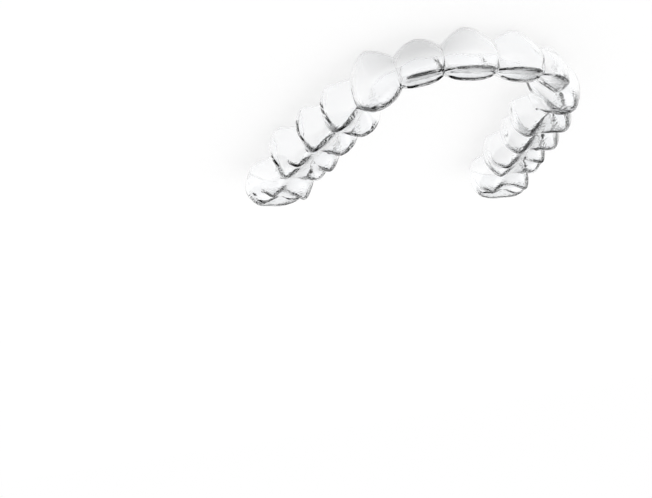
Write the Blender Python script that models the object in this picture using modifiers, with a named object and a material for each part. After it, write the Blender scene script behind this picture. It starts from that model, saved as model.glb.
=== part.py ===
"""Clear dental aligner: one thin formed shell over a full upper row of fourteen teeth.

The shell rests open side down. +Z points to the biting side, -Y to the front teeth, and the
plane x = 0 is the mirror plane. The origin is at the bottom centre of the bounding box.
"""
import math

import bmesh
import bpy
import numpy as np

MM = 0.001

# Formed sheet
WALL = 0.55 * MM

# Row line that all sections stand on: a curve whose heading turns from the front to the sides
ROW_TURN = math.radians(75.4)
ROW_BEND_LENGTH = 18.0 * MM
ROW_BEND_POWER = 2.0

# One entry for each tooth from the midline to the back. Each one gives its width along the row
# and one cross-section at its middle. "out" values are measured outwards from the row line and
# "up" values from the surface that the shell rests on.
TEETH = [
    dict(name="central", kind="incisor", width=8.4 * MM,
         face_out=1.6 * MM, trim_out=0.7 * MM, trim_up=0.0 * MM, edge_out=1.35 * MM, edge_up=7.5 * MM,
         crown_up=7.6 * MM, inner_edge_out=-1.5 * MM, inner_edge_up=8.0 * MM,
         back_out=-5.0 * MM, back_trim_up=0.7 * MM),
    dict(name="lateral", kind="incisor", width=6.9 * MM,
         face_out=1.5 * MM, trim_out=0.6 * MM, trim_up=1.1 * MM, edge_out=1.25 * MM, edge_up=7.6 * MM,
         crown_up=7.6 * MM, inner_edge_out=-1.4 * MM, inner_edge_up=8.0 * MM,
         back_out=-4.7 * MM, back_trim_up=1.1 * MM),
    dict(name="canine", kind="canine", width=7.8 * MM,
         face_out=2.2 * MM, trim_out=1.0 * MM, trim_up=0.0 * MM, edge_out=0.9 * MM, edge_up=8.9 * MM,
         crown_up=9.4 * MM, inner_edge_out=-2.6 * MM, inner_edge_up=8.5 * MM,
         back_out=-5.7 * MM, back_trim_up=1.0 * MM),
    dict(name="first_premolar", kind="premolar", width=7.1 * MM,
         face_out=2.3 * MM, trim_out=1.0 * MM, trim_up=1.0 * MM, edge_out=0.0 * MM, edge_up=9.3 * MM,
         crown_up=7.6 * MM, inner_edge_out=-6.0 * MM, inner_edge_up=8.7 * MM,
         back_out=-8.4 * MM, back_trim_up=1.6 * MM),
    dict(name="second_premolar", kind="premolar", width=6.7 * MM,
         face_out=2.4 * MM, trim_out=1.5 * MM, trim_up=0.9 * MM, edge_out=0.0 * MM, edge_up=9.3 * MM,
         crown_up=7.6 * MM, inner_edge_out=-6.0 * MM, inner_edge_up=8.9 * MM,
         back_out=-8.5 * MM, back_trim_up=1.5 * MM),
    dict(name="first_molar", kind="molar", width=10.0 * MM,
         face_out=2.8 * MM, trim_out=2.1 * MM, trim_up=0.0 * MM, edge_out=0.1 * MM, edge_up=9.1 * MM,
         crown_up=7.5 * MM, inner_edge_out=-6.9 * MM, inner_edge_up=9.0 * MM,
         back_out=-9.6 * MM, back_trim_up=0.8 * MM),
    dict(name="second_molar", kind="molar", width=10.8 * MM,
         face_out=2.8 * MM, trim_out=1.6 * MM, trim_up=1.5 * MM, edge_out=0.0 * MM, edge_up=10.2 * MM,
         crown_up=8.4 * MM, inner_edge_out=-7.1 * MM, inner_edge_up=9.9 * MM,
         back_out=-9.6 * MM, back_trim_up=0.9 * MM),
]

# The section where each tooth meets the one before it; the first is on the midline
CONTACTS = [
    dict(kind="incisor",
         face_out=1.0 * MM, trim_out=0.2 * MM, trim_up=1.9 * MM, edge_out=0.0 * MM, edge_up=6.9 * MM,
         crown_up=7.1 * MM, inner_edge_out=-1.5 * MM, inner_edge_up=6.9 * MM,
         back_out=-3.8 * MM, back_trim_up=1.9 * MM),
    dict(kind="incisor",
         face_out=0.8 * MM, trim_out=0.0 * MM, trim_up=2.4 * MM, edge_out=0.0 * MM, edge_up=6.8 * MM,
         crown_up=7.0 * MM, inner_edge_out=-1.5 * MM, inner_edge_up=6.8 * MM,
         back_out=-3.7 * MM, back_trim_up=2.1 * MM),
    dict(kind="canine",
         face_out=0.7 * MM, trim_out=-0.1 * MM, trim_up=2.3 * MM, edge_out=0.4 * MM, edge_up=6.6 * MM,
         crown_up=7.4 * MM, inner_edge_out=-1.9 * MM, inner_edge_up=7.0 * MM,
         back_out=-4.2 * MM, back_trim_up=2.1 * MM),
    dict(kind="premolar",
         face_out=0.1 * MM, trim_out=0.0 * MM, trim_up=2.0 * MM, edge_out=-0.6 * MM, edge_up=7.3 * MM,
         crown_up=7.0 * MM, inner_edge_out=-3.5 * MM, inner_edge_up=6.6 * MM,
         back_out=-5.6 * MM, back_trim_up=2.2 * MM),
    dict(kind="premolar",
         face_out=0.2 * MM, trim_out=0.2 * MM, trim_up=2.4 * MM, edge_out=-1.0 * MM, edge_up=7.4 * MM,
         crown_up=7.4 * MM, inner_edge_out=-5.2 * MM, inner_edge_up=7.2 * MM,
         back_out=-6.9 * MM, back_trim_up=2.2 * MM),
    dict(kind="molar",
         face_out=0.2 * MM, trim_out=0.3 * MM, trim_up=2.3 * MM, edge_out=-1.0 * MM, edge_up=7.3 * MM,
         crown_up=7.3 * MM, inner_edge_out=-5.6 * MM, inner_edge_up=7.1 * MM,
         back_out=-7.4 * MM, back_trim_up=1.9 * MM),
    dict(kind="molar",
         face_out=0.2 * MM, trim_out=0.3 * MM, trim_up=2.6 * MM, edge_out=-1.0 * MM, edge_up=7.5 * MM,
         crown_up=7.5 * MM, inner_edge_out=-5.9 * MM, inner_edge_up=7.3 * MM,
         back_out=-7.7 * MM, back_trim_up=1.7 * MM),
]

# Back end of the shell, past the second molar's middle
END_TRIM_UP = 2.6 * MM
END_TOP_UP = 8.8 * MM
END_TOP_INSET = 1.0 * MM
END_TRIM_INSET = 0.4 * MM

# Molar relief
BUCCAL_GROOVE = 0.5 * MM
LINGUAL_GROOVE = 0.5 * MM

# The outer face of a side tooth is a pointed arch, this wide at the gum as a share of the tooth
ARCH_START = 0.45
ARCH_CLIMB = 2.2
# 0 is a round face, 1 is two flat ones that meet at an upright ridge
FACE_RIDGE = {"canine": 0.35, "premolar": 0.9, "molar": 0.9}
# How far behind the tooth's middle that ridge is, as a share of half its width
RIDGE_AT = {"canine": 0.0, "premolar": 0.31, "molar": 0.31}
RIDGE_FADE = 4.0
# Where the outer edge is on the way round a section
OUTER_EDGE_ROW = 3.0 / 8.0
# How far from the face to the outer edge the face starts to lean in
SHOULDER = 0.12

# Shape across each kind of tooth: how full its walls are, and the scallop of its trim line
OUTER_BODY = {"incisor": (2.6, 0.8), "canine": (2.0, 0.9), "premolar": (2.0, 0.95), "molar": (2.4, 0.8)}
INNER_BODY = {"incisor": (2.6, 0.8), "canine": (3.0, 0.7), "premolar": (2.8, 0.7), "molar": (2.8, 0.8)}
TRIM_SCALLOP = {"incisor": (1.7, 1.3), "canine": (1.6, 1.2), "premolar": (1.4, 1.6), "molar": (1.5, 1.9)}
# Roundness of the biting edge of a front tooth, and of a premolar's three rows of height
FRONT_EDGE = {"incisor": 2.4, "canine": 2.2}
PREMOLAR_ROWS = (1.8, 2.0, 2.4)
CROWN_ROUNDNESS = 2.0

# Molar cusps: place across the tooth and spread, both as shares of half its width
OUTER_CUSPS = (0.45, 0.36)
INNER_FRONT_CUSP = (-0.36, 0.38)
INNER_BACK_CUSP = (0.52, 0.30)
INNER_BACK_HEIGHT = 0.85
PIT = (0.0, 0.22)
PIT_DEPTH = 0.5
# Molar grooves: the same across the tooth, then place and spread on the way round the section
OUTER_GROOVE = (0.0, 0.16)
OUTER_GROOVE_ROUND = (0.30, 0.07)
INNER_GROOVE = (0.15, 0.15)
INNER_GROOVE_ROUND = (0.72, 0.10)

# How far each section's outer and inner side turn from the row line to its own tooth's facing
OUTER_FACING = 0.8
INNER_FACING = 0.35

# Back end: where it starts on the last tooth, how square it is seen from above, and the heights
# and the inset of its two middle points as shares of its own height and of its top's inset
END_START = 0.25
END_SQUARENESS = 3.0
END_BULGE_AT = 0.4
END_SHOULDER_AT = 0.75
END_SHOULDER_INSET = 0.2

# Mesh fineness
ROW_STEPS = 1201
COLUMNS_PER_TOOTH = 10
END_COLUMNS = 5
ROWS = 17

# Points closer together than this are one point
WELD = 0.01 * MM

PLASTIC_COLOUR = (0.93, 0.95, 0.97, 1.0)
PLASTIC_ROUGHNESS = 0.06
PLASTIC_IOR = 1.5

# Heights of the nine section points, as shares of the way from the trim edge to the edge above it
WALL_SHARES = (0.0, 0.38, 0.70, 1.0)
# How far along from the inner edge to the back each lower inner point lies
BACK_SHARES = {
    "incisor": (0.22, 0.72, 1.0),
    "canine": (0.45, 0.85, 1.0),
    "premolar": (0.80, 1.0, 0.85),
    "molar": (0.80, 1.0, 0.82),
}


def section_points(size):
    """Nine points (out, up) over one section, from the outer trim edge to the inner one."""
    up = [size["trim_up"] + share * (size["edge_up"] - size["trim_up"]) for share in WALL_SHARES]
    back_up = [
        size["back_trim_up"] + share * (size["inner_edge_up"] - size["back_trim_up"])
        for share in WALL_SHARES
    ]
    reach = size["back_out"] - size["inner_edge_out"]
    back = [size["inner_edge_out"] + share * reach for share in BACK_SHARES[size["kind"]]]
    middle = 0.5 * (size["edge_out"] + size["inner_edge_out"])
    shoulder = size["face_out"] + SHOULDER * (size["edge_out"] - size["face_out"])
    return np.array([
        (size["trim_out"], up[0]),
        (size["face_out"], up[1]),
        (shoulder, up[2]),
        (size["edge_out"], up[3]),
        (middle, size["crown_up"]),
        (size["inner_edge_out"], back_up[3]),
        (back[0], back_up[2]),
        (back[1], back_up[1]),
        (back[2], back_up[0]),
    ])


def spline(points, t):
    """Smooth curve through the points (K, n), read at each t from 0 to 1."""
    spans = len(points) - 1
    place = np.clip(t, 0.0, 1.0) * spans
    first = np.minimum(place.astype(int), spans - 1)
    rest = (place - first)[:, None]
    ends = np.vstack([2 * points[0] - points[1], points, 2 * points[-1] - points[-2]])
    before, start, end, after = (ends[first + step] for step in range(4))
    slope = end - before
    curve = 2 * before - 5 * start + 4 * end - after
    twist = 3 * start - before - 3 * end + after
    return 0.5 * (2 * start + slope * rest + curve * rest ** 2 + twist * rest ** 3)


def row_line(along):
    """Points of the row line and its outward directions at distances along it from the midline."""
    length = sum(tooth["width"] for tooth in TEETH)
    steps = np.linspace(0.0, length, ROW_STEPS)
    heading = ROW_TURN * (1.0 - np.exp(-(steps / ROW_BEND_LENGTH) ** ROW_BEND_POWER))
    step = steps[1] - steps[0]
    x = np.concatenate([[0.0], np.cumsum(np.cos(0.5 * (heading[1:] + heading[:-1]))) * step])
    y = np.concatenate([[0.0], np.cumsum(np.sin(0.5 * (heading[1:] + heading[:-1]))) * step])
    turn = np.interp(along, steps, heading)
    point = np.stack([np.interp(along, steps, x), np.interp(along, steps, y)], -1)
    outward = np.stack([np.sin(turn), -np.cos(turn)], -1)
    return point, outward


def fullness(x, power, root):
    """1 at the middle of a tooth and 0 where it meets its neighbours."""
    return (1.0 - np.clip(np.abs(x), 0.0, 1.0) ** power) ** root


def bump(x, middle, spread):
    return np.exp(-((x - middle) / spread) ** 2)


def unit(vectors):
    return vectors / np.linalg.norm(vectors, axis=-1, keepdims=True)


def cusp_heights(kind, x):
    """How far each of the outer edge, the crown's middle and the inner edge rises across a tooth."""
    if kind in FRONT_EDGE:
        edge = fullness(x, FRONT_EDGE[kind], 1.0)
        return edge, edge, edge
    if kind == "premolar":
        return tuple(fullness(x, power, 1.0) for power in PREMOLAR_ROWS)
    outer = bump(np.abs(x), *OUTER_CUSPS)
    inner = np.maximum(bump(x, *INNER_FRONT_CUSP), INNER_BACK_HEIGHT * bump(x, *INNER_BACK_CUSP))
    return outer, fullness(x, CROWN_ROUNDNESS, 1.0) - PIT_DEPTH * bump(x, *PIT), inner


def tooth_columns(tooth, before, after, x, t):
    """Sections (column, row, out/up) of one tooth at places x, from -1 to 1 across its width."""
    kind = tooth["kind"]
    middle = spline(section_points(tooth), t)
    side = np.where(
        x[:, None, None] < 0.0,
        spline(section_points(before), t)[None],
        spline(section_points(after), t)[None],
    )
    front = fullness(x, *OUTER_BODY[kind])
    back = fullness(x, *INNER_BODY[kind])
    trim = fullness(x, *TRIM_SCALLOP[kind])
    outer, crown, inner = cusp_heights(kind, x)
    rise = spline(np.stack([trim, front, front, outer, crown, inner, back, back, trim]), t).T
    share = np.clip((t - OUTER_EDGE_ROW) / (1.0 - 2.0 * OUTER_EDGE_ROW), 0.0, 1.0)
    reach = front[:, None] + share[None, :] * (back - front)[:, None]
    if kind in FACE_RIDGE:
        climb = np.clip(t / OUTER_EDGE_ROW, 0.0, 1.0)[None, :]
        fade = 1.0 - climb ** RIDGE_FADE
        half = np.ones_like(climb)
        if kind != "canine":
            # the outer face is a pointed arch that widens from the gum towards the biting side
            half = 1.0 - (1.0 - ARCH_START) * (1.0 - climb) ** ARCH_CLIMB
        at = RIDGE_AT[kind] * fade
        room = np.where(x[:, None] < at, 1.0 + at, 1.0 - at)
        across = np.clip(np.abs(x[:, None] - at) / room / half, 0.0, 1.0)
        ridge = FACE_RIDGE[kind] * fade
        face = (1.0 - ridge) * fullness(across, *OUTER_BODY[kind]) + ridge * (1.0 - across)
        reach = np.where(t[None, :] <= OUTER_EDGE_ROW, face, reach)
    sections = side + np.stack([reach, rise], -1) * (middle[None] - side)
    if kind == "molar":
        outer_groove = bump(x, *OUTER_GROOVE)[:, None] * bump(t, *OUTER_GROOVE_ROUND)[None, :]
        inner_groove = bump(x, *INNER_GROOVE)[:, None] * bump(t, *INNER_GROOVE_ROUND)[None, :]
        sections[..., 0] += LINGUAL_GROOVE * inner_groove - BUCCAL_GROOVE * outer_groove
    return sections


def end_columns(last):
    """Half-sections turned a quarter round the last tooth's fossa, which close the shell's end."""
    half = (ROWS - 1) // 2
    pole = last[half].copy()
    outer = last[:half + 1].copy()
    inner = last[half:][::-1].copy()
    outer[:, 0] -= pole[0]
    inner[:, 0] = pole[0] - inner[:, 0]
    width = (1.0 - END_START) * 0.5 * TEETH[-1]["width"]
    height = END_TOP_UP - END_TRIM_UP
    end = spline(np.array([
        (width - END_TRIM_INSET, END_TRIM_UP),
        (width, END_TRIM_UP + END_BULGE_AT * height),
        (width - END_SHOULDER_INSET * END_TOP_INSET, END_TRIM_UP + END_SHOULDER_AT * height),
        (width - END_TOP_INSET, END_TOP_UP),
        (0.0, pole[1]),
    ]), np.linspace(0.0, 1.0, half + 1))
    columns = []
    for step in range(1, END_COLUMNS + 1):
        angle = 0.5 * math.pi * step / END_COLUMNS
        across = math.cos(angle)
        back = math.sin(angle)
        turned = []
        for section in (outer, inner):
            near = section[:-1, 0]
            far = end[:-1, 0]
            reach = ((across / near) ** END_SQUARENESS + (back / far) ** END_SQUARENESS)
            reach = np.append(reach ** (-1.0 / END_SQUARENESS), 0.0)
            up = section[:, 1] + back ** 2 * (end[:, 1] - section[:, 1])
            turned.append((reach, up))
        (out_reach, out_up), (in_reach, in_up) = turned
        columns.append((
            np.concatenate([out_reach * across, -in_reach[-2::-1] * across]) + pole[0],
            np.concatenate([out_reach, in_reach[-2::-1]]) * back,
            np.concatenate([out_up, in_up[-2::-1]]),
        ))
    return columns


def shell_grid():
    """Points (column, row, xyz) of the outer surface's half at positive x, midline to back end."""
    t = np.linspace(0.0, 1.0, ROWS)
    grid = []
    start = 0.0
    for index, tooth in enumerate(TEETH):
        last = index == len(TEETH) - 1
        x = np.sin(0.5 * math.pi * np.linspace(-1.0, 1.0, COLUMNS_PER_TOOTH + 1))
        if last:
            x = x[x <= 0.0]
            x = np.append(x, END_START)
        if index > 0:
            x = x[1:]
        after = CONTACTS[index] if last else CONTACTS[index + 1]
        sections = tooth_columns(tooth, CONTACTS[index], after, x, t)
        along = start + 0.5 * (x + 1.0) * tooth["width"]
        point, outward = row_line(along)
        own = row_line(np.array([start + 0.5 * tooth["width"]]))[1]
        turn = fullness(x, CROWN_ROUNDNESS, 1.0)[:, None] * (own - outward)
        outer_way = unit(outward + OUTER_FACING * turn)[:, None, :]
        inner_way = unit(outward + INNER_FACING * turn)[:, None, :]
        out = sections[..., :1]
        flat = point[:, None, :] + out * np.where(out > 0.0, outer_way, inner_way)
        grid.append(np.concatenate([flat, sections[..., 1:]], -1))
        start += tooth["width"]
    for out, back, up in end_columns(sections[-1]):
        way = np.where(out[:, None] > 0.0, outer_way[-1], inner_way[-1])
        backward = np.array([-inner_way[-1, 0, 1], inner_way[-1, 0, 0]])
        flat = point[-1] + out[:, None] * way + back[:, None] * backward
        grid.append(np.column_stack([flat, up])[None])
    grid = np.concatenate(grid)
    # the origin is at the bottom centre of the bounding box
    grid[..., 1] -= 0.5 * (grid[..., 1].min() + grid[..., 1].max())
    grid[..., 2] -= grid[..., 2].min()
    return grid


def build_shell(collection):
    """The closed shell: half of the outer surface, mirrored, with the sheet's thickness inwards."""
    grid = shell_grid()
    columns, rows = grid.shape[:2]
    index = np.arange(columns * rows).reshape(columns, rows)
    quads = np.stack([index[:-1, :-1], index[1:, :-1], index[1:, 1:], index[:-1, 1:]], -1)
    mesh = bpy.data.meshes.new("aligner_shell")
    mesh.from_pydata(grid.reshape(-1, 3).tolist(), [], quads.reshape(-1, 4).tolist())
    form = bmesh.new()
    form.from_mesh(mesh)
    # the end columns share one pole and meet along the back seam
    bmesh.ops.remove_doubles(form, verts=form.verts, dist=WELD)
    bmesh.ops.recalc_face_normals(form, faces=form.faces)
    form.to_mesh(mesh)
    form.free()
    mesh.shade_smooth()
    shell = bpy.data.objects.new("aligner_shell", mesh)
    collection.objects.link(shell)
    mirror = shell.modifiers.new("other_side", "MIRROR")
    mirror.use_axis = (True, False, False)
    mirror.use_mirror_merge = True
    mirror.merge_threshold = WELD
    wall = shell.modifiers.new("sheet", "SOLIDIFY")
    wall.thickness = WALL
    wall.offset = -1.0
    wall.use_rim = True
    wall.use_quality_normals = True
    return shell


def clear_plastic():
    material = bpy.data.materials.new("clear_plastic")
    material.use_nodes = True
    shader = material.node_tree.nodes["Principled BSDF"]
    shader.inputs["Base Color"].default_value = PLASTIC_COLOUR
    shader.inputs["Metallic"].default_value = 0.0
    shader.inputs["Roughness"].default_value = PLASTIC_ROUGHNESS
    shader.inputs["IOR"].default_value = PLASTIC_IOR
    shader.inputs["Transmission Weight"].default_value = 1.0
    return material


def main():
    for item in list(bpy.data.objects):
        bpy.data.objects.remove(item, do_unlink=True)
    collection = bpy.data.collections.new("clear_aligner")
    bpy.context.scene.collection.children.link(collection)
    shell = build_shell(collection)
    shell.data.materials.append(clear_plastic())


main()
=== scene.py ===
import math

import bpy
import numpy as np
from mathutils import Matrix, Vector


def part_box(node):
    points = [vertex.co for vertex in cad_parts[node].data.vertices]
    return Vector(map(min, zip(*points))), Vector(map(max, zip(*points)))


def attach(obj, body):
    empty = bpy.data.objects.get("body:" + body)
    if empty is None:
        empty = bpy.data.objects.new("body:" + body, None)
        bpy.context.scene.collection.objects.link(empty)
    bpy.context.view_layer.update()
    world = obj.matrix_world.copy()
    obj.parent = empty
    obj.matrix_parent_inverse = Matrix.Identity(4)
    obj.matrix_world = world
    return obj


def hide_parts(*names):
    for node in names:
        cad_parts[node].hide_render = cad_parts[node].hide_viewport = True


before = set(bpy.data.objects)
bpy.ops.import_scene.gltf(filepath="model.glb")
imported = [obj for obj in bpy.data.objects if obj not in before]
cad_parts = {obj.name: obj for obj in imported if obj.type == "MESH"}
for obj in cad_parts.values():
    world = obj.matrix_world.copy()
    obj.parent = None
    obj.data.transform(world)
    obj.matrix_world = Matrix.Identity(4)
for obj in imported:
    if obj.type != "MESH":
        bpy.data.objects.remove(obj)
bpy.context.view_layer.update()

mm = 0.001

# The formed sheet and the row line that every cross-section stands on, in millimetres and degrees
row = {
    "wall": 0.55,
    "rimBulge": 0.35,        # how round the cut edge is, as a share of half the wall
    "turn": 75.4,            # heading of the row line at the back of the mouth
    "bendLength": 18.0,
    "bendPower": 2.0,
    "lineSteps": 2401,
}

# One tooth pocket for each entry, from the midline to the back. "out" is measured outwards from
# the row line and "up" from the floor, at the middle of the tooth.
teeth = [
    # central incisor
    {"kind": "incisor", "width": 8.4, "faceOut": 1.6, "trimOut": 0.7, "trimUp": 0.0,
     "edgeOut": 1.35, "edgeUp": 7.5, "crownUp": 7.6, "innerEdgeOut": -1.5, "innerEdgeUp": 8.0,
     "backOut": -5.0, "backTrimUp": 0.7},
    # lateral incisor
    {"kind": "incisor", "width": 6.9, "faceOut": 1.5, "trimOut": 0.6, "trimUp": 1.1,
     "edgeOut": 1.25, "edgeUp": 7.6, "crownUp": 7.6, "innerEdgeOut": -1.4, "innerEdgeUp": 8.0,
     "backOut": -4.7, "backTrimUp": 1.1},
    # canine
    {"kind": "canine", "width": 7.8, "faceOut": 2.2, "trimOut": 1.0, "trimUp": 0.0,
     "edgeOut": 0.9, "edgeUp": 8.9, "crownUp": 9.4, "innerEdgeOut": -2.6, "innerEdgeUp": 8.5,
     "backOut": -5.7, "backTrimUp": 1.0},
    # first premolar
    {"kind": "premolar", "width": 7.1, "faceOut": 2.3, "trimOut": 1.0,
     "trimUp": 1.0, "edgeOut": 0.0, "edgeUp": 9.3, "crownUp": 7.6, "innerEdgeOut": -6.0,
     "innerEdgeUp": 8.7, "backOut": -8.4, "backTrimUp": 1.6},
    # second premolar
    {"kind": "premolar", "width": 6.7, "faceOut": 2.4, "trimOut": 1.5,
     "trimUp": 0.9, "edgeOut": 0.0, "edgeUp": 9.3, "crownUp": 7.6, "innerEdgeOut": -6.0,
     "innerEdgeUp": 8.9, "backOut": -8.5, "backTrimUp": 1.5},
    # first molar
    {"kind": "molar", "width": 10.0, "faceOut": 2.8, "trimOut": 2.1, "trimUp": 0.0,
     "edgeOut": 0.1, "edgeUp": 9.1, "crownUp": 7.5, "innerEdgeOut": -6.9, "innerEdgeUp": 9.0,
     "backOut": -9.6, "backTrimUp": 0.8},
    # second molar
    {"kind": "molar", "width": 10.8, "faceOut": 2.8, "trimOut": 1.6, "trimUp": 1.5,
     "edgeOut": 0.0, "edgeUp": 10.2, "crownUp": 8.4, "innerEdgeOut": -7.1, "innerEdgeUp": 9.9,
     "backOut": -9.6, "backTrimUp": 0.9},
]

# The section where each tooth meets the one before it; the first one is on the midline
contacts = [
    {"kind": "incisor", "faceOut": 1.0, "trimOut": 0.2, "trimUp": 1.9, "edgeOut": 0.0, "edgeUp": 6.9,
     "crownUp": 7.1, "innerEdgeOut": -1.5, "innerEdgeUp": 6.9, "backOut": -3.8, "backTrimUp": 1.9},
    {"kind": "incisor", "faceOut": 0.8, "trimOut": 0.0, "trimUp": 2.4, "edgeOut": 0.0, "edgeUp": 6.8,
     "crownUp": 7.0, "innerEdgeOut": -1.5, "innerEdgeUp": 6.8, "backOut": -3.7, "backTrimUp": 2.1},
    {"kind": "canine", "faceOut": 0.7, "trimOut": -0.1, "trimUp": 2.3, "edgeOut": 0.4, "edgeUp": 6.6,
     "crownUp": 7.4, "innerEdgeOut": -1.9, "innerEdgeUp": 7.0, "backOut": -4.2, "backTrimUp": 2.1},
    {"kind": "premolar", "faceOut": 0.1, "trimOut": 0.0, "trimUp": 2.0, "edgeOut": -0.6, "edgeUp": 7.3,
     "crownUp": 7.0, "innerEdgeOut": -3.5, "innerEdgeUp": 6.6, "backOut": -5.6, "backTrimUp": 2.2},
    {"kind": "premolar", "faceOut": 0.2, "trimOut": 0.2, "trimUp": 2.4, "edgeOut": -1.0, "edgeUp": 7.4,
     "crownUp": 7.4, "innerEdgeOut": -5.2, "innerEdgeUp": 7.2, "backOut": -6.9, "backTrimUp": 2.2},
    {"kind": "molar", "faceOut": 0.2, "trimOut": 0.3, "trimUp": 2.3, "edgeOut": -1.0, "edgeUp": 7.3,
     "crownUp": 7.3, "innerEdgeOut": -5.6, "innerEdgeUp": 7.1, "backOut": -7.4, "backTrimUp": 1.9},
    {"kind": "molar", "faceOut": 0.2, "trimOut": 0.3, "trimUp": 2.6, "edgeOut": -1.0, "edgeUp": 7.5,
     "crownUp": 7.5, "innerEdgeOut": -5.9, "innerEdgeUp": 7.3, "backOut": -7.7, "backTrimUp": 1.7},
]

# How each kind of tooth is shaped across its width
form = {
    "outerBody": {"incisor": (2.6, 0.8), "canine": (2.0, 0.9),
                  "premolar": (2.0, 0.95), "molar": (2.4, 0.8)},
    "innerBody": {"incisor": (2.6, 0.8), "canine": (3.0, 0.7),
                  "premolar": (2.8, 0.7), "molar": (2.8, 0.8)},
    "scallop": {"incisor": (1.7, 1.3), "canine": (1.6, 1.2),
                "premolar": (1.4, 1.6), "molar": (1.5, 1.9)},
    "frontEdge": {"incisor": 2.4, "canine": 2.2},
    "premolarRows": (1.8, 2.0, 2.4),    # outer cusp, middle and inner cusp
    "crownRoundness": 2.0,
    "wallShares": (0.0, 0.38, 0.70, 1.0),
    "backShares": {"incisor": (0.22, 0.72, 1.0), "canine": (0.45, 0.85, 1.0),
                   "premolar": (0.80, 1.0, 0.85), "molar": (0.80, 1.0, 0.82)},
    "shoulder": 0.12,        # share of the way from the face to the edge where the face starts to lean in
    "edgeAt": 3.0 / 8.0,     # where the outer edge is on the way round the section
    "archStart": 0.45,       # width of a side tooth's pointed arch at the gum, as a share of the tooth
    "archClimb": 2.2,
    # 0 is a round face, 1 is two flat ones that meet at an upright ridge
    "faceRidge": {"canine": 0.35, "premolar": 0.9, "molar": 0.9},
    "ridgeFade": 4.0,
    "ridgeAt": {"canine": 0.0, "premolar": 0.31, "molar": 0.31},
    "outerFacing": 0.8,      # how far a tooth's outer side turns to its own middle's direction
    "innerFacing": 0.35,
}

cusps = {
    "outerAt": 0.45, "outerSpread": 0.36,
    "innerFrontAt": -0.36, "innerFrontSpread": 0.38,
    "innerBackAt": 0.52, "innerBackSpread": 0.30, "innerBackHeight": 0.85,
    "pitDepth": 0.5, "pitSpread": 0.22,
    "outerGroove": 0.5, "outerGrooveSpread": 0.16, "outerGrooveAt": 0.30, "outerGrooveReach": 0.07,
    "innerGroove": 0.5, "innerGrooveFrom": 0.15, "innerGrooveSpread": 0.15, "innerGrooveAt": 0.72,
    "innerGrooveReach": 0.10,
}

# Back end of the shell, turned a quarter round the second molar's pit
backEnd = {
    "start": 0.25, "squareness": 3.0, "trimUp": 2.6, "topUp": 8.8, "topInset": 1.0,
    "trimInset": 0.4, "bulgeAt": 0.4, "shoulderAt": 0.75, "shoulderInset": 0.2,
}

fineness = {
    "columnsPerTooth": 30, "columnGap": 0.02, "endColumns": 14, "rows": 97,
    "trimMargin": 0.004,     # the rounded cut edge takes this share of the way round the section
    "rimSteps": 6,
}


def sectionPoints(size):
    # nine points (out, up) from the outer trim edge over the crown to the inner trim edge
    up = [size["trimUp"] + share * (size["edgeUp"] - size["trimUp"]) for share in form["wallShares"]]
    backUp = [size["backTrimUp"] + share * (size["innerEdgeUp"] - size["backTrimUp"])
              for share in form["wallShares"]]
    reach = size["backOut"] - size["innerEdgeOut"]
    back = [size["innerEdgeOut"] + share * reach for share in form["backShares"][size["kind"]]]
    middle = 0.5 * (size["edgeOut"] + size["innerEdgeOut"])
    shoulder = size["faceOut"] + form["shoulder"] * (size["edgeOut"] - size["faceOut"])
    return np.array([
        (size["trimOut"], up[0]), (size["faceOut"], up[1]), (shoulder, up[2]), (size["edgeOut"], up[3]),
        (middle, size["crownUp"]),
        (size["innerEdgeOut"], backUp[3]), (back[0], backUp[2]), (back[1], backUp[1]), (back[2], backUp[0]),
    ])


def smoothCurve(points, t):
    # Catmull-Rom curve: on each span a cubic through its two ends, with slopes from their neighbours
    spans = len(points) - 1
    place = np.clip(t, 0.0, 1.0) * spans
    first = np.minimum(place.astype(int), spans - 1)
    rest = (place - first)[:, None]
    ends = np.vstack([2 * points[0] - points[1], points, 2 * points[-1] - points[-2]])
    before, start, end, after = (ends[first + step] for step in range(4))
    slope = end - before
    curve = 2 * before - 5 * start + 4 * end - after
    twist = 3 * start - before - 3 * end + after
    return 0.5 * (2 * start + slope * rest + curve * rest ** 2 + twist * rest ** 3)


def rowLine(along):
    # the heading rises from 0 to "turn" as 1 - exp(-(distance / bendLength) ^ bendPower)
    length = sum(tooth["width"] for tooth in teeth)
    steps = np.linspace(0.0, length, row["lineSteps"])
    heading = math.radians(row["turn"]) * (1.0 - np.exp(-(steps / row["bendLength"]) ** row["bendPower"]))
    halfway = 0.5 * (heading[1:] + heading[:-1])
    x = np.concatenate([[0.0], np.cumsum(np.cos(halfway))]) * steps[1]
    y = np.concatenate([[0.0], np.cumsum(np.sin(halfway))]) * steps[1]
    turn = np.interp(along, steps, heading)
    point = np.stack([np.interp(along, steps, x), np.interp(along, steps, y)], -1)
    outward = np.stack([np.sin(turn), -np.cos(turn)], -1)
    return point, outward


def fullness(x, power, root):
    # 1 at the middle of a tooth and 0 at its sides: (1 - |x| ^ power) ^ root
    return (1.0 - np.clip(np.abs(x), 0.0, 1.0) ** power) ** root


def bump(x, middle, spread):
    # a bell curve: exp(-((x - middle) / spread) ^ 2)
    return np.exp(-((x - middle) / spread) ** 2)


def unit(vectors):
    # each vector over its own length
    return vectors / np.linalg.norm(vectors, axis=-1, keepdims=True)


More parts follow.
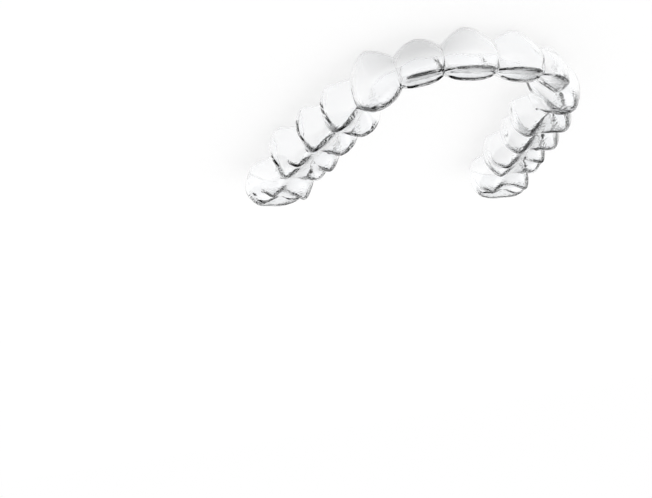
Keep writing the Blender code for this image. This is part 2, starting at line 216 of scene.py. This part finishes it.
def cuspHeights(kind, x):
    # how far the outer edge, the crown's middle and the inner edge rise across a tooth
    if kind in form["frontEdge"]:
        edge = fullness(x, form["frontEdge"][kind], 1.0)
        return edge, edge, edge
    if kind == "premolar":
        return tuple(fullness(x, power, 1.0) for power in form["premolarRows"])
    outer = bump(np.abs(x), cusps["outerAt"], cusps["outerSpread"])
    innerBack = cusps["innerBackHeight"] * bump(x, cusps["innerBackAt"], cusps["innerBackSpread"])
    inner = np.maximum(bump(x, cusps["innerFrontAt"], cusps["innerFrontSpread"]), innerBack)
    pit = cusps["pitDepth"] * bump(x, 0.0, cusps["pitSpread"])
    return outer, fullness(x, form["crownRoundness"], 1.0) - pit, inner


def toothSections(tooth, before, after, x, t):
    # a section at x is the side's section plus fullness(x) times the way to the middle's section
    kind = tooth["kind"]
    middle = smoothCurve(sectionPoints(tooth), t)
    side = np.where(x[:, None, None] < 0.0, smoothCurve(sectionPoints(before), t)[None],
                    smoothCurve(sectionPoints(after), t)[None])
    front = fullness(x, *form["outerBody"][kind])
    back = fullness(x, *form["innerBody"][kind])
    trim = fullness(x, *form["scallop"][kind])
    outer, crown, inner = cuspHeights(kind, x)
    rise = smoothCurve(np.stack([trim, front, front, outer, crown, inner, back, back, trim]), t).T
    share = np.clip((t - form["edgeAt"]) / (1.0 - 2.0 * form["edgeAt"]), 0.0, 1.0)
    reach = front[:, None] + share[None, :] * (back - front)[:, None]
    if kind in form["faceRidge"]:
        climb = np.clip(t / form["edgeAt"], 0.0, 1.0)[None, :]
        half = np.ones_like(climb)
        if kind != "canine":
            half = 1.0 - (1.0 - form["archStart"]) * (1.0 - climb) ** form["archClimb"]
        at = form["ridgeAt"][kind] * (1.0 - climb ** form["ridgeFade"])
        room = np.where(x[:, None] < at, 1.0 + at, 1.0 - at)
        across = np.clip(np.abs(x[:, None] - at) / room / half, 0.0, 1.0)
        ridge = form["faceRidge"][kind] * (1.0 - climb ** form["ridgeFade"])
        face = (1.0 - ridge) * fullness(across, *form["outerBody"][kind]) + ridge * (1.0 - across)
        reach = np.where(t[None, :] <= form["edgeAt"], face, reach)
    sections = side + np.stack([reach, rise], -1) * (middle[None] - side)
    if kind == "molar":
        outerGroove = (bump(x, 0.0, cusps["outerGrooveSpread"])[:, None]
                       * bump(t, cusps["outerGrooveAt"], cusps["outerGrooveReach"])[None, :])
        innerGroove = (bump(x, cusps["innerGrooveFrom"], cusps["innerGrooveSpread"])[:, None]
                       * bump(t, cusps["innerGrooveAt"], cusps["innerGrooveReach"])[None, :])
        sections[..., 0] += cusps["innerGroove"] * innerGroove - cusps["outerGroove"] * outerGroove
    return sections


def endSections(last):
    # half-sections turned a quarter round the pit; the reach at an angle is a superellipse
    half = (len(last) - 1) // 2
    pole = last[half].copy()
    outer = last[:half + 1].copy()
    inner = last[half:][::-1].copy()
    outer[:, 0] -= pole[0]
    inner[:, 0] = pole[0] - inner[:, 0]
    width = (1.0 - backEnd["start"]) * 0.5 * teeth[-1]["width"]
    height = backEnd["topUp"] - backEnd["trimUp"]
    margin = fineness["trimMargin"]
    end = smoothCurve(np.array([
        (width - backEnd["trimInset"], backEnd["trimUp"]),
        (width, backEnd["trimUp"] + backEnd["bulgeAt"] * height),
        (width - backEnd["shoulderInset"] * backEnd["topInset"],
         backEnd["trimUp"] + backEnd["shoulderAt"] * height),
        (width - backEnd["topInset"], backEnd["topUp"]),
        (0.0, pole[1]),
    ]), np.linspace(2.0 * margin, 1.0, half + 1))
    angle = 0.5 * math.pi * np.arange(1, fineness["endColumns"] + 1) / fineness["endColumns"]
    across = np.cos(angle)[:, None]
    back = np.sin(angle)[:, None]
    power = backEnd["squareness"]
    turned = []
    for section in (outer, inner):
        sideways = (across / section[None, :-1, 0]) ** power
        backwards = (back / end[None, :-1, 0]) ** power
        reach = np.pad((sideways + backwards) ** (-1.0 / power), ((0, 0), (0, 1)))
        turned.append((reach, section[:, 1] + back ** 2 * (end[:, 1] - section[:, 1])))
    (outReach, outUp), (inReach, inUp) = turned
    out = np.concatenate([outReach * across, -inReach[:, -2::-1] * across], 1) + pole[0]
    backward = np.concatenate([outReach, inReach[:, -2::-1]], 1) * back
    return out, backward, np.concatenate([outUp, inUp[:, -2::-1]], 1)


def outerSurface():
    # point(along, t) = row line at along + out(x, t) times the tooth's direction, with up(x, t) as z
    margin = fineness["trimMargin"]
    t = np.linspace(margin, 1.0 - margin, fineness["rows"])
    grid = []
    start = 0.0
    for index, tooth in enumerate(teeth):
        x = np.sin(0.5 * math.pi * np.linspace(-1.0, 1.0, fineness["columnsPerTooth"] + 1))
        last = tooth is teeth[-1]
        if last:
            x = np.append(x[x < backEnd["start"] - fineness["columnGap"]], backEnd["start"])
        x = x if index == 0 else x[1:]
        sections = toothSections(tooth, contacts[index], contacts[index if last else index + 1], x, t)
        point, outward = rowLine(start + 0.5 * (x + 1.0) * tooth["width"])
        own = rowLine(np.array([start + 0.5 * tooth["width"]]))[1]
        turn = fullness(x, form["crownRoundness"], 1.0)[:, None] * (own - outward)
        outerWay = unit(outward + form["outerFacing"] * turn)[:, None, :]
        innerWay = unit(outward + form["innerFacing"] * turn)[:, None, :]
        out = sections[..., :1]
        flat = point[:, None, :] + out * np.where(out > 0.0, outerWay, innerWay)
        grid.append(np.concatenate([flat, sections[..., 1:]], -1))
        start += tooth["width"]
    out, back, up = endSections(sections[-1])
    way = np.where(out[..., None] > 0.0, outerWay[-1], innerWay[-1])
    backward = np.array([-innerWay[-1, 0, 1], innerWay[-1, 0, 0]])
    flat = point[-1] + out[..., None] * way + back[..., None] * backward
    grid.append(np.concatenate([flat, up[..., None]], -1))
    return np.concatenate(grid)


def mirrored(half):
    # the half at positive x, put behind its mirror image so that columns run from end to end
    other = half[:0:-1] * np.array([-1.0, 1.0, 1.0])
    return np.concatenate([other, half])


def sharedPoints(grid):
    # one number for each grid point; points that meet at a pole or along a seam share theirs
    columns, rows = grid.shape[:2]
    number = np.arange(columns * rows).reshape(columns, rows)
    ends = fineness["endColumns"]
    half = (rows - 1) // 2
    number[-ends:, half] = number[-ends - 1, half]
    number[:ends, half] = number[ends, half]
    number[-1, half + 1:] = number[-1, half - 1::-1]
    number[0, half + 1:] = number[0, half - 1::-1]
    return number


def quadsOf(number):
    # counter-clockwise as seen from outside
    corners = [number[:-1, :-1], number[1:, :-1], number[1:, 1:], number[:-1, 1:]]
    return np.stack(corners, -1).reshape(-1, 4)


def pointNormals(points, quads):
    # each point's normal is the sum of the normals of the faces round it, by their area
    corners = points[quads]
    faceNormals = np.cross(corners[:, 2] - corners[:, 0], corners[:, 3] - corners[:, 1])
    normals = np.zeros_like(points)
    for corner in range(4):
        np.add.at(normals, quads[:, corner], faceNormals)
    length = np.linalg.norm(normals, axis=1, keepdims=True)
    length[length == 0.0] = 1.0    # points that no face uses
    return normals / length


def alignerShell():
    # outer surface, inner surface one wall deeper along the normals, and a half-round rim between them
    grid = mirrored(outerSurface())
    number = sharedPoints(grid)
    points = grid.reshape(-1, 3)
    quads = quadsOf(number)
    normals = pointNormals(points, quads)
    count = len(points)
    inner = points - row["wall"] * normals
    # the rim's loop: along the outer trim edge, round one end, and back along the inner trim edge
    loop = np.concatenate([number[:, 0], number[-2:0:-1, -1]])
    inside = np.concatenate([number[:, 1], number[-2:0:-1, -2]])
    edge = points[loop]
    normal = normals[loop]
    along = np.roll(edge, -1, 0) - np.roll(edge, 1, 0)
    away = np.cross(normal, along)
    away *= np.sign(np.sum(away * (edge - points[inside]), -1, keepdims=True))
    away = unit(away)
    angle = np.pi * np.arange(1, fineness["rimSteps"]) / fineness["rimSteps"]
    centre = edge - 0.5 * row["wall"] * normal
    radius = 0.5 * row["wall"]
    rim = [centre + radius * (math.cos(a) * normal + row["rimBulge"] * math.sin(a) * away) for a in angle]
    rings = [loop] + [2 * count + step * len(loop) + np.arange(len(loop)) for step in range(len(rim))]
    rings.append(loop + count)
    rimQuads = np.concatenate([
        np.stack([one, np.roll(one, -1), np.roll(two, -1), two], -1)
        for one, two in zip(rings[:-1], rings[1:])
    ])
    points = np.concatenate([points, inner] + rim)
    cut = np.repeat([0, 1], [2 * len(quads), len(rimQuads)])
    quads = np.concatenate([quads, quads[:, ::-1] + count, rimQuads])
    return points, quads, cut


def fitted(points):
    # moved and scaled by a hair, so that the fine surface ends where the frame's solid ends
    low, high = (np.array(corner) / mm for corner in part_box("aligner_shell"))
    least, most = points.min(0), points.max(0)
    return low + (points - least) * (high - low) / (most - least)


def meshPiece(name, points, quads, slots, materials):
    # at a pole a quad has two corners in one point and becomes a triangle
    used, quads = np.unique(quads, return_inverse=True)
    faces = [tuple(dict.fromkeys(quad)) for quad in quads.reshape(-1, 4).tolist()]
    whole = np.array([len(face) > 2 for face in faces])
    mesh = bpy.data.meshes.new(name)
    mesh.from_pydata((points[used] * mm).tolist(), [], [face for face in faces if len(face) > 2])
    mesh.shade_smooth()
    for material in materials:
        mesh.materials.append(material)
    mesh.polygons.foreach_set("material_index", slots[whole])
    piece = bpy.data.objects.new(name, mesh)
    bpy.context.scene.collection.objects.link(piece)
    return piece


plastic = {
    "colour": (0.995, 0.997, 1.0, 1.0), "cloudColour": (0.975, 0.982, 0.99, 1.0),
    "ior": 1.5, "roughness": (0.0, 0.035), "cutRoughness": 0.3, "cloudSize": 1.6,
    # the printed model's layers leave fine steps, which show most on the flat ground near the top
    "layerHeight": 0.28, "layerWander": 0.6, "wrinkleSize": 0.5, "wrinkleShare": 2.6,
    "reliefDepth": 0.016, "reliefRise": (6.0, 8.3), "reliefLow": 0.04,
    # the biting edges of the front teeth have a painted grey shade, and are duller than the rest and
    # streaked lengthwise
    "edgePaintedShade": (0.81, 0.815, 0.82, 1.0), "edgeRoughness": 0.25,
    "edgeRise": (7.0, 7.4), "edgeFront": (-17.0, -19.0),
    "streakSize": 0.6, "streakScale": (0.12, 1.0, 1.0), "streakShare": 24.0,
}


def valueNode(nodes, links, operation, *inputs):
    # a Math node; each input is a number or another node's socket
    node = nodes.new("ShaderNodeMath")
    node.operation = operation
    for place, value in enumerate(inputs):
        if isinstance(value, bpy.types.NodeSocket):
            links.new(value, node.inputs[place])
        else:
            node.inputs[place].default_value = value
    return node.outputs[0]


def vectorNode(nodes, links, operation, place, second):
    # a Vector Math node on a place and a fixed second vector
    node = nodes.new("ShaderNodeVectorMath")
    node.operation = operation
    links.new(place, node.inputs[0])
    node.inputs[1].default_value = second
    return node.outputs


def noiseNode(nodes, links, place, size):
    # noise from 0 to 1 with spots about "size" millimetres apart
    node = nodes.new("ShaderNodeTexNoise")
    node.inputs["Scale"].default_value = 1.0 / (size * mm)
    links.new(place, node.inputs["Vector"])
    return node.outputs[0]


def rampNode(nodes, links, value, ends, low=0.0, high=1.0):
    # a smooth step from low to high between the two ends
    node = nodes.new("ShaderNodeMapRange")
    node.interpolation_type = "SMOOTHSTEP"
    node.inputs["From Min"].default_value, node.inputs["From Max"].default_value = ends
    node.inputs["To Min"].default_value = low
    node.inputs["To Max"].default_value = high
    links.new(value, node.inputs["Value"])
    return node.outputs[0]


def mixNode(nodes, links, share, first, second):
    # a mix of two colours; each is a colour or another node's socket
    node = nodes.new("ShaderNodeMix")
    node.data_type = "RGBA"
    links.new(share, node.inputs["Factor"])
    for socket, value in ((node.inputs[6], first), (node.inputs[7], second)):
        if isinstance(value, bpy.types.NodeSocket):
            links.new(value, socket)
        else:
            socket.default_value = value
    return node.outputs[2]


def clearPlastic():
    # clear glossy sheet: cloudy by a hair, with the steps and wrinkles of the model it was formed on, and
    # painted grey shade on the front teeth's biting edges
    material = bpy.data.materials.new("clearPlastic")
    material.use_nodes = True
    nodes, links = material.node_tree.nodes, material.node_tree.links
    shader = nodes["Principled BSDF"]
    shader.inputs["IOR"].default_value = plastic["ior"]
    shader.inputs["Transmission Weight"].default_value = 1.0
    place = nodes.new("ShaderNodeTexCoord").outputs["Object"]
    parts = nodes.new("ShaderNodeSeparateXYZ")
    links.new(place, parts.inputs[0])
    up = valueNode(nodes, links, "DIVIDE", parts.outputs["Z"], mm)
    back = valueNode(nodes, links, "DIVIDE", parts.outputs["Y"], mm)
    cloud = noiseNode(nodes, links, place, plastic["cloudSize"])
    high = rampNode(nodes, links, up, plastic["edgeRise"])
    front = rampNode(nodes, links, back, plastic["edgeFront"])
    biting = valueNode(nodes, links, "MULTIPLY", high, front)
    colour = mixNode(nodes, links, cloud, plastic["colour"], plastic["cloudColour"])
    # painted shade: the front teeth's biting edges are mixed towards a grey colour
    colour = mixNode(nodes, links, biting, colour, plastic["edgePaintedShade"])
    links.new(colour, shader.inputs["Base Color"])
    smooth, dull = plastic["roughness"]
    rough = valueNode(nodes, links, "MULTIPLY_ADD", cloud, dull - smooth, smooth)
    rough = valueNode(nodes, links, "MULTIPLY_ADD", biting, plastic["edgeRoughness"], rough)
    links.new(rough, shader.inputs["Roughness"])
    # steps: the sine of the height over the layer's height, which wanders a little
    wander = valueNode(nodes, links, "MULTIPLY_ADD", cloud, plastic["layerWander"], up)
    turns = valueNode(nodes, links, "MULTIPLY", wander, 2.0 * math.pi / plastic["layerHeight"])
    steps = valueNode(nodes, links, "SINE", turns)
    wrinkles = noiseNode(nodes, links, place, plastic["wrinkleSize"])
    relief = valueNode(nodes, links, "MULTIPLY_ADD", wrinkles, 2.0 * plastic["wrinkleShare"], steps)
    stretched = vectorNode(nodes, links, "MULTIPLY", place, plastic["streakScale"])["Vector"]
    streaks = noiseNode(nodes, links, stretched, plastic["streakSize"])
    streaks = valueNode(nodes, links, "MULTIPLY", streaks, biting)
    relief = valueNode(nodes, links, "MULTIPLY_ADD", streaks, plastic["streakShare"], relief)
    near = rampNode(nodes, links, up, plastic["reliefRise"], plastic["reliefLow"])
    bumps = nodes.new("ShaderNodeBump")
    bumps.inputs["Distance"].default_value = 0.5 * plastic["reliefDepth"] * mm
    height = valueNode(nodes, links, "MULTIPLY", relief, near)
    links.new(height, bumps.inputs["Height"])
    links.new(bumps.outputs[0], shader.inputs["Normal"])
    return material


def cutEdge():
    # the trimmed edge is the same plastic, left matt by the cutter
    material = bpy.data.materials.new("cutEdge")
    material.use_nodes = True
    nodes, links = material.node_tree.nodes, material.node_tree.links
    shader = nodes["Principled BSDF"]
    shader.inputs["Base Color"].default_value = plastic["colour"]
    shader.inputs["IOR"].default_value = plastic["ior"]
    shader.inputs["Transmission Weight"].default_value = 1.0
    place = nodes.new("ShaderNodeTexCoord").outputs["Object"]
    grit = noiseNode(nodes, links, place, plastic["wrinkleSize"])
    least = 0.5 * plastic["cutRoughness"]
    rough = valueNode(nodes, links, "MULTIPLY_ADD", grit, plastic["cutRoughness"], least)
    links.new(rough, shader.inputs["Roughness"])
    return material


points, quads, cut = alignerShell()
shell = meshPiece("alignerShell", fitted(points), quads, cut, [clearPlastic(), cutEdge()])
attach(shell, "root")
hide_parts("aligner_shell")
print("shell made,", len(shell.data.polygons), "faces")

studio = {
    "floorRadius": 3.0, "floorHub": 0.15, "floorSides": 96, "floorRings": 12,
    "floorColour": (0.27, 0.27, 0.27, 1.0), "floorRoughness": 0.9, "lift": 0.74,
    # painted shade on the floor, seen only through the plastic
    "shadeAt": (10.5, -18.5, 0.0), "shadeReach": 14.5, "shadeLevels": (-0.32, 0.07),
    "lightSky": 0.75, "glassSkyLow": 0.9, "glassSkyHigh": 0.0, "glassSkyRise": (-0.1, 0.1),
    "sunStrength": 0.9, "sunSoftness": 70.0, "sunFrom": (-0.45, -0.35, 1.0),
}


def studioFloor():
    # a flat round sheet: rings of radius r, so that x = r cos(angle) and y = r sin(angle)
    around = 2.0 * np.pi * np.arange(studio["floorSides"]) / studio["floorSides"]
    reach = np.linspace(studio["floorHub"], studio["floorRadius"], studio["floorRings"])
    points = np.stack([reach[:, None] * np.cos(around), reach[:, None] * np.sin(around),
                       np.zeros((len(reach), len(around)))], -1).reshape(-1, 3)
    number = np.arange(len(points)).reshape(len(reach), len(around))
    number = np.concatenate([number, number[:, :1]], 1)
    mesh = bpy.data.meshes.new("studioFloor")
    hub = [tuple(number[0, :-1].tolist())]
    mesh.from_pydata(points.tolist(), [], [tuple(quad) for quad in quadsOf(number).tolist()] + hub)
    floor = bpy.data.objects.new("studioFloor", mesh)
    bpy.context.scene.collection.objects.link(floor)
    material = bpy.data.materials.new("paleSheet")
    material.use_nodes = True
    nodes, links = material.node_tree.nodes, material.node_tree.links
    shader = nodes["Principled BSDF"]
    shader.inputs["Base Color"].default_value = studio["floorColour"]
    shader.inputs["Roughness"].default_value = studio["floorRoughness"]
    shader.inputs["Specular IOR Level"].default_value = 0.0
    shader.inputs["Emission Color"].default_value = (1.0, 1.0, 1.0, 1.0)
    rays = nodes.new("ShaderNodeLightPath").outputs
    seen = valueNode(nodes, links, "MAXIMUM", rays["Is Camera Ray"], rays["Is Transmission Ray"])
    seen = valueNode(nodes, links, "MAXIMUM", seen, rays["Is Glossy Ray"])
    level = valueNode(nodes, links, "MULTIPLY", seen, studio["lift"])
    # through the plastic the sheet has a painted soft shade under one side of the front teeth, and is a
    # hair brighter elsewhere
    place = nodes.new("ShaderNodeTexCoord").outputs["Object"]
    centre = [value * mm for value in studio["shadeAt"]]
    away = vectorNode(nodes, links, "DISTANCE", place, centre)["Value"]
    reached = (0.0, studio["shadeReach"] * mm)
    shade = rampNode(nodes, links, away, reached, *studio["shadeLevels"])
    change = valueNode(nodes, links, "MULTIPLY", shade, rays["Is Transmission Ray"])
    strength = valueNode(nodes, links, "MULTIPLY_ADD", level, change, level)
    links.new(strength, shader.inputs["Emission Strength"])
    floor.data.materials.append(material)


def studioWorld():
    # white behind everything; in the plastic the sky is white low down and darker overhead
    world = bpy.data.worlds.new("studioWorld")
    bpy.context.scene.world = world
    world.use_nodes = True
    nodes, links = world.node_tree.nodes, world.node_tree.links
    rays = nodes.new("ShaderNodeLightPath")
    way = nodes.new("ShaderNodeTexCoord")
    parts = nodes.new("ShaderNodeSeparateXYZ")
    links.new(way.outputs["Generated"], parts.inputs[0])
    sky = rampNode(nodes, links, parts.outputs["Z"], studio["glassSkyRise"], studio["glassSkyLow"],
                   studio["glassSkyHigh"])
    # light that has met the floor sees the plain sky, also through the plastic
    met = valueNode(nodes, links, "MINIMUM", rays.outputs["Diffuse Depth"], 1.0)
    glass = nodes.new("ShaderNodeMix")
    links.new(met, glass.inputs["Factor"])
    links.new(sky, glass.inputs[2])
    glass.inputs[3].default_value = studio["lightSky"]
    seen = nodes.new("ShaderNodeMix")
    links.new(rays.outputs["Is Camera Ray"], seen.inputs["Factor"])
    links.new(glass.outputs[0], seen.inputs[2])
    seen.inputs[3].default_value = 1.0
    links.new(seen.outputs[0], nodes["Background"].inputs["Strength"])
    nodes["Background"].inputs["Color"].default_value = (1.0, 1.0, 1.0, 1.0)


def studioSun():
    # one wide lamp, pointed from its place in the sky to the middle of the scene
    lamp = bpy.data.lights.new("softSun", "SUN")
    lamp.energy = studio["sunStrength"]
    lamp.angle = math.radians(studio["sunSoftness"])
    holder = bpy.data.objects.new("softSun", lamp)
    bpy.context.scene.collection.objects.link(holder)
    holder.rotation_euler = Vector(studio["sunFrom"]).to_track_quat("Z", "Y").to_euler()


view = {
    "aim": (0.0, 0.645, 5.0), "azimuth": 31.689, "elevation": 26.498, "roll": 164.614,
    "distance": 108.793, "lookAside": -10.118, "lookUp": 10.903, "focal": 583.464,
    "pictureWidth": 652, "sensor": 36.0,
}


def photoCamera():
    # at "distance" from the aim; its axes are rolled, then turned aside and up to set the aim off centre
    azimuth, elevation, roll = (math.radians(view[key]) for key in ("azimuth", "elevation", "roll"))
    aside, lift = math.radians(view["lookAside"]), math.radians(view["lookUp"])
    back = np.array([math.sin(azimuth) * math.cos(elevation), -math.cos(azimuth) * math.cos(elevation),
                     math.sin(elevation)])
    right = unit(np.cross([0.0, 0.0, 1.0], back))
    up = np.cross(back, right)
    turned = np.array([math.cos(roll) * right + math.sin(roll) * up,
                       math.cos(roll) * up - math.sin(roll) * right, back])
    yaw = np.array([[math.cos(aside), 0.0, math.sin(aside)], [0.0, 1.0, 0.0],
                    [-math.sin(aside), 0.0, math.cos(aside)]])
    pitch = np.array([[1.0, 0.0, 0.0], [0.0, math.cos(lift), -math.sin(lift)],
                      [0.0, math.sin(lift), math.cos(lift)]])
    axes = pitch @ yaw @ turned
    place = (np.array(view["aim"]) + back * view["distance"]) * mm
    camera = bpy.data.cameras.new("photoCamera")
    camera.sensor_width = view["sensor"]
    camera.lens = view["focal"] / view["pictureWidth"] * view["sensor"]
    camera.clip_start = mm
    holder = bpy.data.objects.new("photoCamera", camera)
    bpy.context.scene.collection.objects.link(holder)
    matrix = np.eye(4)
    matrix[:3, :3] = axes.T
    matrix[:3, 3] = place
    holder.matrix_world = Matrix(matrix.tolist())
    bpy.context.scene.camera = holder


studioFloor()
studioWorld()
studioSun()
photoCamera()
bpy.context.scene.view_settings.view_transform = "Standard"
print("floor, lamps and camera placed")
